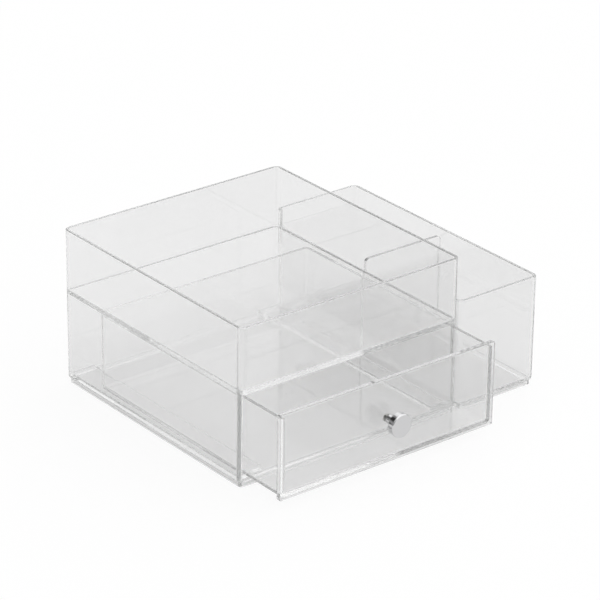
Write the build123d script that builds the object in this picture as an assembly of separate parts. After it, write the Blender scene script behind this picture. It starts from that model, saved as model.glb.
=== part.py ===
from build123d import *

import os

# A clear plastic organizer for a dressing table: a housing with an open tray over a drawer, and a lower bin
# bonded to its right side. Millimetres, +Z up, the front towards -Y. The origin is on the table, under the
# middle of the whole object with the drawer as far out as it is modelled.

# Housing
housing_width = 162.3
housing_depth = 174.6
housing_height = 101.6
housing_wall = 2.1
housing_corner = 4.5
tray_height = 61.5
shelf_thickness = 2.1
tray_floor_round = 1.0

# Floor and foot, alike under the housing and the bin
foot_height = 2.4
foot_inset = 1.5
foot_rim = 2.2
floor_thickness = 2.2
wall_foot_round = 2.8

# Strips along the floor that carry the drawer
runner_width = 17.0
runner_height = 2.7

# Side bin
bin_width = 63.0
bin_height = 72.6
bin_wall = 2.1
bin_corner = 4.5
bin_floor_round = 1.0
bin_left_wall_height = 59.5
bin_notch_corner = 2.0

# Divider in the bin
divider_thickness = 2.1
divider_height = 63.1
divider_front_distance = 89.0
divider_corner = 2.5

# Drawer
drawer_opening = 31.6
drawer_side_gap = 0.8
drawer_top_gap = 1.8
drawer_back_gap = 0.5
drawer_lift = 0.2
drawer_wall = 2.1
drawer_floor = 2.1
drawer_corner = 3.0
drawer_inner_corner = 1.5

# Front panel of the drawer
panel_thickness = 2.9
panel_overlap = 0.6
panel_top_under_tray = 0.7
panel_bottom_under_drawer = 1.0
panel_corner = 1.4
panel_edge_round = 0.6

# Knob and its screw
knob_above_middle = 0.7
knob_head_diameter = 14.6
knob_head_length = 4.6
knob_neck_diameter = 6.0
knob_neck_length = 6.7
knob_bevel = 0.8
knob_back_round = 0.4
knob_neck_round = 1.0
screw_diameter = 2.5
screw_reach = 7.0
screw_head_diameter = 5.0
screw_head_height = 2.0
screw_head_round = 0.9
screw_slot_width = 0.8
screw_slot_length = 2.8
screw_slot_depth = 1.0
screw_bore_gap = 0.05
screw_bore_spare = 1.0
panel_hole_gap = 0.2

# Rounding along the rims of the housing and the bin
rim_round = 0.7

# Films of cement between pieces that are bonded, and the slack between pieces that are clamped
bond_film = 0.2
clamp_slack = 0.03

# Places worked out from the sizes above
front_reach = drawer_opening + panel_thickness + clamp_slack + knob_neck_length + knob_head_length
housing_left = -(housing_width + bond_film + bin_width) / 2
housing_right = housing_left + housing_width
housing_middle = housing_left + housing_width / 2
bin_left = housing_right + bond_film
bin_right = bin_left + bin_width
front = (front_reach - housing_depth) / 2
back = front + housing_depth
floor_top = foot_height + floor_thickness
shelf_underside = tray_height - shelf_thickness
runner_top = floor_top + runner_height
drawer_bottom = runner_top + drawer_lift

panel_front = front - drawer_opening - panel_thickness
panel_back = panel_front + panel_thickness
panel_top = tray_height - panel_top_under_tray
panel_bottom = drawer_bottom - panel_bottom_under_drawer
knob_height = (panel_top + panel_bottom) / 2 + knob_above_middle


def block(x_range, y_range, z_range):
    """A plain block between two values on each axis."""
    size = [high - low for low, high in (x_range, y_range, z_range)]
    centre = [(low + high) / 2 for low, high in (x_range, y_range, z_range)]
    return Pos(*centre) * Box(*size)


def rounded_block(x_range, y_range, z_range, radius):
    """A block with its four upright edges rounded."""
    solid = block(x_range, y_range, z_range)
    return fillet(solid.edges().filter_by(Axis.Z), radius)


def lowest_edges(solid):
    """The edges round the lowest face."""
    return solid.faces().sort_by(Axis.Z)[0].edges()


def highest_edges(solid):
    """The edges round the highest face."""
    return solid.faces().sort_by(Axis.Z)[-1].edges()


def foot_ring(x_range, y_range, wall_corner):
    """The low rim that the object stands on, set in from walls whose corners have a given radius."""
    outer_x = (x_range[0] + foot_inset, x_range[1] - foot_inset)
    outer_y = (y_range[0] + foot_inset, y_range[1] - foot_inset)
    inner_x = (outer_x[0] + foot_rim, outer_x[1] - foot_rim)
    inner_y = (outer_y[0] + foot_rim, outer_y[1] - foot_rim)
    ring = rounded_block(outer_x, outer_y, (0, foot_height), wall_corner - foot_inset)
    return ring - block(inner_x, inner_y, (0, foot_height))


def on_knob_axis(solid):
    """Turns a solid made along +Z from the panel's front face to point forwards from it."""
    return Pos(housing_middle, panel_front, knob_height) * Rot(90, 0, 0) * solid


def turned(corners):
    """A solid turned about +Z from its corners: each one's radius, its height and how far it is rounded."""
    face = make_face(Plane.XZ * Polyline(*[(radius, height) for radius, height, _ in corners], close=True))
    for radius, height, rounding in corners:
        if rounding:
            corner = face.vertices().sort_by_distance((radius, 0, height))[0]
            face = fillet(corner, rounding)
    return revolve(face, Axis.Z)


def make_housing():
    """The tray, the shelf under it, the bay for the drawer and the foot, in one moulding."""
    x_range = (housing_left, housing_right)
    y_range = (front, back)
    body = rounded_block(x_range, y_range, (foot_height, housing_height), housing_corner)
    body = fillet(lowest_edges(body), wall_foot_round)

    inner_x = (housing_left + housing_wall, housing_right - housing_wall)
    inner_back = back - housing_wall
    inner_corner = housing_corner - housing_wall
    tray = rounded_block(
        inner_x, (front + housing_wall, inner_back), (tray_height, housing_height), inner_corner
    )
    tray = fillet(lowest_edges(tray), tray_floor_round)
    bay = block(inner_x, (front, inner_back), (floor_top, shelf_underside))
    bay = fillet(bay.edges().filter_by(Axis.Z).group_by(Axis.Y)[-1], inner_corner)
    body = body - tray - bay
    body = fillet(highest_edges(body), rim_round)

    for side in ((inner_x[0], inner_x[0] + runner_width), (inner_x[1] - runner_width, inner_x[1])):
        runner_y = (front + wall_foot_round, inner_back - inner_corner)
        body += block(side, runner_y, (floor_top, runner_top))
    return body + foot_ring(x_range, y_range, housing_corner)


def make_side_bin():
    """An open bin whose left wall is cut down, so that above the shelf the housing's wall closes it."""
    x_range = (bin_left, bin_right)
    y_range = (front, back)
    body = rounded_block(x_range, y_range, (foot_height, bin_height), bin_corner)
    body = fillet(lowest_edges(body), wall_foot_round)

    inner_x = (bin_left + bin_wall, bin_right - bin_wall)
    inner_y = (front + bin_wall, back - bin_wall)
    inner_corner = bin_corner - bin_wall
    inside = rounded_block(inner_x, inner_y, (floor_top, bin_height), inner_corner)
    inside = fillet(lowest_edges(inside), bin_floor_round)
    body = fillet(highest_edges(body - inside), rim_round)
    notch_y = (inner_y[0] + inner_corner, inner_y[1] - inner_corner)
    notch = block((bin_left, inner_x[0]), notch_y, (bin_left_wall_height, bin_height))
    notch = fillet(notch.edges().filter_by(Axis.X).group_by(Axis.Z)[0], bin_notch_corner)
    return body - notch + foot_ring(x_range, y_range, bin_corner)


def make_bin_divider():
    """A plate from wall to wall of the bin, its lower corners cut clear of the rounding at the floor."""
    x_range = (bin_left + bin_wall + bond_film, bin_right - bin_wall - bond_film)
    middle = front + divider_front_distance
    y_range = (middle - divider_thickness / 2, middle + divider_thickness / 2)
    bottom = floor_top + bond_film
    plate = block(x_range, y_range, (bottom, bottom + divider_height))
    upper_corners = plate.edges().filter_by(Axis.Y).group_by(Axis.Z)[-1]
    plate = fillet(upper_corners, divider_corner)
    lower_corners = plate.edges().filter_by(Axis.Y).group_by(Axis.Z)[0]
    return chamfer(lower_corners, bin_floor_round)


def make_drawer():
    """An open box that runs on the strips, with a front panel that covers the ends of the housing's walls."""
    half_width = housing_width / 2 - housing_wall - drawer_side_gap
    x_range = (housing_middle - half_width, housing_middle + half_width)
    box_back = back - housing_wall - drawer_back_gap - drawer_opening
    y_range = (panel_back, box_back)
    top = shelf_underside - drawer_top_gap

    box = block(x_range, y_range, (drawer_bottom, top))
    back_corners = box.edges().filter_by(Axis.Z).group_by(Axis.Y)[-1]
    box = fillet(back_corners, drawer_corner)
    all_but_front = lowest_edges(box).sort_by(Axis.Y)[1:]
    box = fillet(all_but_front, drawer_corner)

    inner_x = (x_range[0] + drawer_wall, x_range[1] - drawer_wall)
    inner_y = (panel_back, box_back - drawer_wall)
    inside = rounded_block(inner_x, inner_y, (drawer_bottom + drawer_floor, top), drawer_inner_corner)
    inside = fillet(lowest_edges(inside), drawer_inner_corner)
    box = box - inside

    panel_half = housing_width / 2 - housing_wall + panel_overlap
    panel = block(
        (housing_middle - panel_half, housing_middle + panel_half),
        (panel_front, panel_back),
        (panel_bottom, panel_top),
    )
    panel = fillet(panel.edges().filter_by(Axis.Y), panel_corner)
    face = panel.faces().sort_by(Axis.Y)[0]
    panel = fillet(face.edges(), panel_edge_round)

    hole_radius = screw_diameter / 2 + panel_hole_gap
    hole = Pos(0, 0, -panel_thickness / 2) * Cylinder(hole_radius, panel_thickness)
    return panel + box - on_knob_axis(hole)


def make_knob():
    """A round head on a narrow neck, bored from behind for the screw."""
    neck = knob_neck_diameter / 2
    head = knob_head_diameter / 2
    head_back = clamp_slack + knob_neck_length
    tip = head_back + knob_head_length
    solid = turned(
        [
            (0, clamp_slack, 0),
            (neck, clamp_slack, 0),
            (neck, head_back, knob_neck_round),
            (head, head_back, knob_back_round),
            (head, tip, knob_bevel),
            (0, tip, 0),
        ]
    )
    bore = screw_diameter / 2 + screw_bore_gap
    bore_end = screw_reach + screw_bore_spare
    hole = turned([(0, 0, 0), (bore, 0, 0), (bore, bore_end, 0), (0, bore_end, 0)])
    return on_knob_axis(solid - hole)


def make_knob_screw():
    """A cross-slotted screw from the back of the front panel into the knob."""
    shank = screw_diameter / 2
    head = screw_head_diameter / 2
    head_front = -panel_thickness - clamp_slack
    head_end = head_front - screw_head_height
    solid = turned(
        [
            (0, head_end, 0),
            (head, head_end, screw_head_round),
            (head, head_front, 0),
            (shank, head_front, 0),
            (shank, screw_reach, 0),
            (0, screw_reach, 0),
        ]
    )
    for turn in (0, 90):
        slot = Box(screw_slot_length, screw_slot_width, 2 * screw_slot_depth)
        solid -= Pos(0, 0, head_end) * Rot(0, 0, turn) * slot
    return on_knob_axis(solid)


pieces = {
    "housing": make_housing,
    "side_bin": make_side_bin,
    "bin_divider": make_bin_divider,
    "drawer": make_drawer,
    "knob": make_knob,
    "knob_screw": make_knob_screw,
}

os.makedirs("parts", exist_ok=True)
for name, make in pieces.items():
    export_step(make(), f"parts/{name}.step")
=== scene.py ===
# %% [markdown]
# # A clear plastic makeup organizer
#
# The organizer is a tray over a drawer, with a lower bin along its right side, all moulded in clear
# plastic. The drawer has a chromed knob, held by one screw. The shapes are finished solids, so this
# lesson is about light: how clear plastic and chrome are shaded, what they need round them to be seen at
# all, and how a white picture is made without washing the object out.

# %% Load the solids
import math
import bpy
from mathutils import Matrix, Vector


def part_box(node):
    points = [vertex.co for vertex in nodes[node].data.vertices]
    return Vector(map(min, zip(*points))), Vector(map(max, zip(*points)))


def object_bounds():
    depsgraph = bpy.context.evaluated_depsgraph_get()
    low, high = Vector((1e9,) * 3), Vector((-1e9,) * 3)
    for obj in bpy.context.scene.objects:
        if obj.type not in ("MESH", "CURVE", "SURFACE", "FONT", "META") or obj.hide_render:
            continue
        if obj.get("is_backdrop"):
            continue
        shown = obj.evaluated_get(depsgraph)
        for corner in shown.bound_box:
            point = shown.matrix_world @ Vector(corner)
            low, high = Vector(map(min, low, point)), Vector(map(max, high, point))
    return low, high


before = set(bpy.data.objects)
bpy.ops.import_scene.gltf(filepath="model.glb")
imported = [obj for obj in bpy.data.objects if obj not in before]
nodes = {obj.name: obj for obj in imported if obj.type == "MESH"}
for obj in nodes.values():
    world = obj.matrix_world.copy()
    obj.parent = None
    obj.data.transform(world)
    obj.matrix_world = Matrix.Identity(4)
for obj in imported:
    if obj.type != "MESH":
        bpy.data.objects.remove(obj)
cad_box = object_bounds()
MILLIMETRE = 0.001
print("pieces:", ", ".join(sorted(nodes)))
print("size in mm:", [round((high - low) / MILLIMETRE, 1) for low, high in zip(*cad_box)])

# %% [markdown]
# ## The camera
#
# A product like this is photographed from far away with a long lens, which keeps its parallel edges
# nearly parallel. The view is from the front left, a little above: 39 degrees round from the front and 25
# degrees up. The camera could be turned by hand until the picture looked right. Here it is placed from
# angles instead, so that each number means something: where it stands, what it looks at, how far off it
# is and how it leans.

# %% Place the camera
AZIMUTH = -38.67
ELEVATION = 25.09
LEAN = 0.75
DISTANCE = 1.967
LOOK_AT = Vector((-0.0036, 0.0197, 0.0574))
LENS = 196.7
SENSOR_WIDTH = 36.0
NEAREST = 0.05


def direction(azimuth, elevation):
    """A unit vector: azimuth in degrees from the front towards the right, elevation above the table."""
    turn, rise = math.radians(azimuth), math.radians(elevation)
    return Vector((math.sin(turn) * math.cos(rise), -math.cos(turn) * math.cos(rise), math.sin(rise)))


def place_camera():
    towards_camera = direction(AZIMUTH, ELEVATION)
    level_right = Vector((0, 0, 1)).cross(towards_camera).normalized()
    level_up = towards_camera.cross(level_right)
    lean = math.radians(LEAN)
    right = math.cos(lean) * level_right + math.sin(lean) * level_up
    up = towards_camera.cross(right)
    turn = Matrix((right, up, towards_camera)).transposed().to_4x4()
    camera = bpy.data.objects.new("camera", bpy.data.cameras.new("camera"))
    camera.matrix_world = Matrix.Translation(LOOK_AT + DISTANCE * towards_camera) @ turn
    camera.data.lens = LENS
    camera.data.sensor_width = SENSOR_WIDTH
    camera.data.clip_start = NEAREST
    bpy.context.scene.collection.objects.link(camera)
    bpy.context.scene.camera = camera
    return camera


camera = place_camera()
print("camera at", [round(v, 3) for v in camera.location])
print("its field of view is", round(math.degrees(camera.data.angle), 1), "degrees")

# %% [markdown]
# ## Colours and nodes
#
# A colour picker shows sRGB hex values, and a shader works with linear light. One function turns the
# first into the second, so that every colour below is written as a painter would read it. A second one
# adds a node, sets what it is given and makes its links, so that each material reads as a short list.
# Some nodes have several sockets of one name, so those are picked by their place: in a Mix node, 0 is the
# share, 2 and 3 are the two numbers, 6 and 7 the two colours, and the mixed colour is output 2.

# %% Helpers for colours and nodes
def linear(hex_colour):
    channels = [int(hex_colour[i : i + 2], 16) / 255 for i in (1, 3, 5)]
    return [c / 12.92 if c <= 0.04045 else ((c + 0.055) / 1.055) ** 2.4 for c in channels] + [1.0]


def node(tree, kind, inputs=(), **settings):
    """Adds a node. inputs maps a socket to a plain value, or to the output that feeds it."""
    new = tree.nodes.new(kind)
    for name, value in settings.items():
        setattr(new, name, value)
    for socket, value in dict(inputs).items():
        if isinstance(value, bpy.types.NodeSocket):
            tree.links.new(value, new.inputs[socket])
        else:
            new.inputs[socket].default_value = value
    return new


def new_material(name):
    material = bpy.data.materials.new(name)
    material.use_nodes = True
    material.node_tree.nodes.clear()
    return material


def dress(piece, material):
    piece.data.materials.clear()
    piece.data.materials.append(material)
    print(piece.name, "is dressed in", material.name)


print("mid grey #808080 is", round(linear("#808080")[0], 3), "in linear light")

# %% [markdown]
# ## Clear polystyrene, moulded in a polished tool
#
# The four mouldings are general-purpose polystyrene: hard, clear as water, and shiny, because the steel
# tool was polished. It bends light a little more than window glass does, with an IOR of 1.59. So each
# wall mirrors about a tenth of what is round it, and light that enters at an edge is trapped between the
# faces and runs on to another edge. That is what draws the rims and corners as bright and grey lines.
#
# Clear plastic could be faked with a half transparent surface, but then its edges would vanish. Here it
# truly refracts, and it is thick, so it also takes up light on the way. That is too little to see through
# one wall of 2 mm, but light that runs along inside a wall covers half a metre and more, and comes out
# greyer and a shade greener. Absorption is a property of the inside, so it is a volume and not a colour
# of the surface.
#
# A moulded wall is never quite flat. It sinks by a few hundredths of a millimetre over a few centimetres,
# and the bump gives it that slow ripple, too weak to feel but enough to bend a line that is seen through
# several walls. The polish is duller in places, where the plastic flowed in last, so the roughness isn't
# the same all over.

# %% The clear plastic
POLYSTYRENE_IOR = 1.59
SINK_WIDTH = 45 * MILLIMETRE
SINK_DEPTH = 0.04 * MILLIMETRE
FLOW_WIDTH = 20 * MILLIMETRE
FLOW_SWIRL = 1.5
POLISHED_UNDER = 0.4
DULL_OVER = 0.7
POLISH = 0.03
DULL_POLISH = 0.06
CLEAR = "#FEFEFE"
ABSORBED_COLOUR = "#BCC2BE"
ABSORPTION = 0.5


def clear_polystyrene():
    material = new_material("polystyrene_clear_moulded")
    tree = material.node_tree
    place = node(tree, "ShaderNodeTexCoord").outputs["Object"]
    sink = node(
        tree,
        "ShaderNodeTexNoise",
        {"Vector": place, "Scale": 1 / SINK_WIDTH, "Detail": 1.0, "Roughness": 0.4},
    )
    ripple = node(
        tree, "ShaderNodeBump", {"Height": sink.outputs["Fac"], "Strength": 1.0, "Distance": SINK_DEPTH}
    )
    flow = node(
        tree, "ShaderNodeTexNoise", {"Vector": place, "Scale": 1 / FLOW_WIDTH, "Distortion": FLOW_SWIRL}
    )
    dullness = node(
        tree,
        "ShaderNodeMapRange",
        {
            "Value": flow.outputs["Fac"],
            "From Min": POLISHED_UNDER,
            "From Max": DULL_OVER,
            "To Min": POLISH,
            "To Max": DULL_POLISH,
        },
    )
    plastic = node(
        tree,
        "ShaderNodeBsdfPrincipled",
        {
            "Base Color": linear(CLEAR),
            "Roughness": dullness.outputs["Result"],
            "IOR": POLYSTYRENE_IOR,
            "Transmission Weight": 1.0,
            "Normal": ripple.outputs["Normal"],
        },
    )
    inside = node(
        tree, "ShaderNodeVolumeAbsorption", {"Color": linear(ABSORBED_COLOUR), "Density": ABSORPTION}
    )
    node(
        tree, "ShaderNodeOutputMaterial", {"Surface": plastic.outputs[0], "Volume": inside.outputs[0]}
    )
    return material


plastic = clear_polystyrene()
for name in ("housing", "side_bin", "bin_divider", "drawer"):
    dress(nodes[name], plastic)
mirrored = ((POLYSTYRENE_IOR - 1) / (POLYSTYRENE_IOR + 1)) ** 2
print("one face mirrors", round(100 * mirrored, 1), "% of the light that meets it head-on")
kept = [math.exp(-ABSORPTION * (1 - channel)) for channel in linear(ABSORBED_COLOUR)[:3]]
print("a metre of plastic lets through", [round(share, 2) for share in kept], "of red, green and blue")

# %% [markdown]
# ## Chrome plate on a turned knob
#
# The knob is turned from brass, polished and chrome-plated. Chrome mirrors nearly everything, in a
# slightly cool grey, so most of its look is what stands round it. It keeps the metal's own default IOR,
# because a plated metal is set by its colour, and a low roughness. The lathe leaves fine rings round the
# axis, about a tenth of a millimetre apart on a knob of this kind. That is too fine to show, so they are
# drawn 0.6 mm apart and very shallow. An image of rings could be wrapped round it. A wave pattern centred
# on the knob's own axis needs no wrapping. At a scale of 1 it has 20 waves in every 2 pi metres, so the
# scale follows from the spacing.

# %% The chrome
RING_SPACING = 0.6 * MILLIMETRE
RING_DEPTH = 0.001 * MILLIMETRE
WAVES_PER_UNIT = 20 / (2 * math.pi)
POLISH_WIDTH = 3 * MILLIMETRE
CHROME_COLOUR = "#DADADB"
CHROME_POLISH = 0.04
CHROME_HAZE = 0.12


def knob_axis():
    """A point on the line that the knob is turned about, which runs front to back."""
    low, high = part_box("knob")
    return (Vector(low) + Vector(high)) / 2


def chrome_plate():
    material = new_material("chrome_plated_turned_brass")
    tree = material.node_tree
    place = node(tree, "ShaderNodeTexCoord").outputs["Object"]
    centred = node(tree, "ShaderNodeVectorMath", {0: place, 1: knob_axis()}, operation="SUBTRACT")
    rings = node(
        tree,
        "ShaderNodeTexWave",
        {"Vector": centred.outputs[0], "Scale": 1 / (RING_SPACING * WAVES_PER_UNIT), "Distortion": 0.0},
        wave_type="RINGS",
        rings_direction="Y",
    )
    bump = node(
        tree, "ShaderNodeBump", {"Height": rings.outputs["Fac"], "Strength": 1.0, "Distance": RING_DEPTH}
    )
    polish = node(tree, "ShaderNodeTexNoise", {"Vector": place, "Scale": 1 / POLISH_WIDTH, "Detail": 3.0})
    roughness = node(
        tree,
        "ShaderNodeMapRange",
        {"Value": polish.outputs["Fac"], "To Min": CHROME_POLISH, "To Max": CHROME_HAZE},
    )
    metal = node(
        tree,
        "ShaderNodeBsdfPrincipled",
        {
            "Base Color": linear(CHROME_COLOUR),
            "Metallic": 1.0,
            "Roughness": roughness.outputs["Result"],
            "Normal": bump.outputs["Normal"],
        },
    )
    node(tree, "ShaderNodeOutputMaterial", {"Surface": metal.outputs[0]})
    return material


dress(nodes["knob"], chrome_plate())
print("the knob's axis is at", [round(v / MILLIMETRE, 1) for v in knob_axis()], "mm")

# %% [markdown]
# ## Zinc plate on the screw
#
# The screw is cold-headed steel with a bright zinc plate. Its finish is whiter and duller than chrome,
# and a little mottled, because the zinc grows in patches about a millimetre wide. Brushed steel would be
# the other choice, but a screw is never brushed. One noise pattern sets both the patches' colour and how
# dull they are.

# %% The zinc
ZINC_PATCH = 1.0 * MILLIMETRE
ZINC_DARK = "#A9A9A6"
ZINC_LIGHT = "#CDCDCA"
ZINC_BRIGHT = 0.2
ZINC_DULL = 0.4


def zinc_plate():
    material = new_material("zinc_plated_steel")
    tree = material.node_tree
    place = node(tree, "ShaderNodeTexCoord").outputs["Object"]
    patches = node(tree, "ShaderNodeTexNoise", {"Vector": place, "Scale": 1 / ZINC_PATCH, "Detail": 2.0})
    patch = patches.outputs["Fac"]
    colour = node(
        tree, "ShaderNodeMix", {0: patch, 6: linear(ZINC_DARK), 7: linear(ZINC_LIGHT)}, data_type="RGBA"
    )
    roughness = node(
        tree, "ShaderNodeMapRange", {"Value": patch, "To Min": ZINC_BRIGHT, "To Max": ZINC_DULL}
    )
    metal = node(
        tree,
        "ShaderNodeBsdfPrincipled",
        {"Base Color": colour.outputs[2], "Metallic": 1.0, "Roughness": roughness.outputs["Result"]},
    )
    node(tree, "ShaderNodeOutputMaterial", {"Surface": metal.outputs[0]})
    return material


dress(nodes["knob_screw"], zinc_plate())

# %% [markdown]
# ## The floor
#
# The object stands on a sheet of white paper. In a finished product picture the paper is pure white, but
# a clear object that saw nothing but pure white would vanish. So the floor answers by what kind of ray
# asks. To the camera it is white, mixed with enough real paper to keep the object's shadow. To rays that
# come by way of the plastic or the chrome it is a pale grey, part of it with a steady glow, which keeps
# the walls light grey and the shadow under the object soft. To everything else it is plain paper, so it
# lights the object from below as paper does. Turning the lamps up until the paper clips would be another
# way to get white, but it would wash out the object with it.

# %% Lay the floor
FLOOR_SIZE = 12.0
FLOOR_DROP = 0.2 * MILLIMETRE
WHITE = (1.0, 1.0, 1.0, 1.0)
PAPER = "#EAEAEA"
GLOW_FOR_CAMERA = 0.93
GLOW_THROUGH_PLASTIC = 0.6
PALE = 0.9


def paper_floor():
    material = new_material("white_background_paper")
    tree = material.node_tree
    rays = node(tree, "ShaderNodeLightPath").outputs
    camera_ray = rays["Is Camera Ray"]
    tone = node(tree, "ShaderNodeMix", {0: camera_ray, 6: linear(PAPER), 7: WHITE}, data_type="RGBA")
    paper = node(tree, "ShaderNodeBsdfDiffuse", {"Color": tone.outputs[2]})
    strength = node(tree, "ShaderNodeMix", {0: camera_ray, 2: PALE, 3: 1.0})
    glow = node(tree, "ShaderNodeEmission", {"Color": WHITE, "Strength": strength.outputs[0]})
    by_way_of_object = node(
        tree,
        "ShaderNodeMath",
        {0: rays["Is Glossy Ray"], 1: rays["Is Transmission Ray"]},
        operation="MAXIMUM",
    )
    object_share = node(
        tree,
        "ShaderNodeMath",
        {0: by_way_of_object.outputs[0], 1: GLOW_THROUGH_PLASTIC},
        operation="MULTIPLY",
    )
    camera_share = node(tree, "ShaderNodeMath", {0: camera_ray, 1: GLOW_FOR_CAMERA}, operation="MULTIPLY")
    share = node(
        tree,
        "ShaderNodeMath",
        {0: camera_share.outputs[0], 1: object_share.outputs[0]},
        operation="MAXIMUM",
    )
    mix = node(
        tree, "ShaderNodeMixShader", {"Fac": share.outputs[0], 1: paper.outputs[0], 2: glow.outputs[0]}
    )
    node(tree, "ShaderNodeOutputMaterial", {"Surface": mix.outputs[0]})
    material.cycles.emission_sampling = "NONE"
    return material


bpy.ops.mesh.primitive_plane_add(size=FLOOR_SIZE, location=(0, 0, -FLOOR_DROP))
floor = bpy.context.object
floor.name = "floor"
dress(floor, paper_floor())
floor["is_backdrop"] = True
print("the floor is", FLOOR_SIZE, "m wide, at z =", round(floor.location.z / MILLIMETRE, 2), "mm")

# %% [markdown]
# ## The studio
#
# Clear plastic and chrome show the room more than they show themselves, so the room is what has to be
# built. It has a large soft light overhead and towards the front, a pale wall at the back right that the
# level faces mirror to the camera, and a black card at the back left. The card is an old trick for glass
# and chrome: it draws the dark side of the knob and the thin grey lines along the edges. The end of the
# room at the front left, behind the camera, has no lamp and stays dark. The clear panel mirrors it into
# the back of the knob. From the back right the tray's floor mirrors it too, and looks greyer there.
#
# These could be area lamps and planes. But a path tracer aims at a lamp in a straight line, which a
# refracting wall blocks, while a path that wanders through the plastic and out into the world always finds
# the light. So the studio is painted on the world, each part as a soft spot round a direction. All of it
# together lights the floor at a level of about 1, at which a colour renders about as it is written, and
# only the camera's own rays see it as plain white. With the world's importance sampling off, every path
# finds its light by that one honest way.

# %% Build the studio
ROOM = 0.5
OVERHEAD = {"towards": direction(16, 69), "full_within": 53, "gone_beyond": 80}
OVERHEAD_LEVEL = 0.8
BACK_WALL = {"towards": direction(133, 17), "full_within": 18, "gone_beyond": 37}
BACK_WALL_LEVEL = 0.4
BLACK_CARD = {"towards": direction(-153, 23), "full_within": 28, "gone_beyond": 40}
CARD_LEVEL = 0.03
DARK_END = {"towards": direction(-39, 25), "full_within": 18, "gone_beyond": 32}
DARK_END_LEVEL = 0.05


def spot(tree, place, outside, inside, towards, full_within, gone_beyond):
    """A soft round spot on the world: its level inside, and the degrees over which it fades to outside."""
    facing = node(tree, "ShaderNodeVectorMath", {0: place, 1: towards}, operation="DOT_PRODUCT")
    fade = {
        "Value": facing.outputs["Value"],
        "From Min": math.cos(math.radians(gone_beyond)),
        "From Max": math.cos(math.radians(full_within)),
        "To Min": outside,
        "To Max": inside,
    }
    return node(tree, "ShaderNodeMapRange", fade, interpolation_type="SMOOTHSTEP").outputs[0]


def studio():
    world = bpy.data.worlds.new("studio")
    world.use_nodes = True
    world.cycles.sampling_method = "NONE"
    tree = world.node_tree
    tree.nodes.clear()
    place = node(tree, "ShaderNodeTexCoord").outputs["Generated"]
    overhead = spot(tree, place, ROOM, ROOM + OVERHEAD_LEVEL, **OVERHEAD)
    back_wall = spot(tree, place, 0.0, BACK_WALL_LEVEL, **BACK_WALL)
    card = spot(tree, place, 1.0, CARD_LEVEL, **BLACK_CARD)
    dark_end = spot(tree, place, 1.0, DARK_END_LEVEL, **DARK_END)
    lit = node(tree, "ShaderNodeMath", {0: overhead, 1: back_wall}, operation="ADD")
    for dark in (card, dark_end):
        lit = node(tree, "ShaderNodeMath", {0: lit.outputs[0], 1: dark}, operation="MULTIPLY")
    camera_ray = node(tree, "ShaderNodeLightPath").outputs["Is Camera Ray"]
    level = node(tree, "ShaderNodeMix", {0: camera_ray, 2: lit.outputs[0], 3: 1.0})
    air = node(tree, "ShaderNodeBackground", {"Color": WHITE, "Strength": level.outputs[0]})
    node(tree, "ShaderNodeOutputWorld", {"Surface": air.outputs[0]})
    return world


bpy.context.scene.world = studio()
print("the overhead light looks from", [round(v, 2) for v in OVERHEAD["towards"]])

# %% [markdown]
# ## Room for the light to travel
#
# Light inside a wall is thrown from face to face until it comes to an edge, some thirty times in the
# length of the tray, and it may run that length more than once. A path that is cut off sooner turns
# black, so the edges of clear plastic need far more bounces than any other material. The paths here
# die out by themselves, so a high limit costs little.

# %% Let light run along inside the walls
BOUNCES = 256
cycles = bpy.context.scene.cycles
for kind in ("max_bounces", "glossy_bounces", "transmission_bounces", "transparent_max_bounces"):
    setattr(cycles, kind, BOUNCES)
print("bounces:", BOUNCES)

# %% [markdown]
# ## Finish
#
# The view transform is Standard, which shows each colour as it was written. The default one would grey
# the white paper. The last lines measure the dressed object against the solids.

# %% Measure and finish
bpy.context.scene.view_settings.view_transform = "Standard"
visual_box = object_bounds()
growth = max(abs(a - b) for cad, seen in zip(cad_box, visual_box) for a, b in zip(cad, seen))
print("the dressed object differs from the solids by", round(growth / MILLIMETRE, 3), "mm at most")
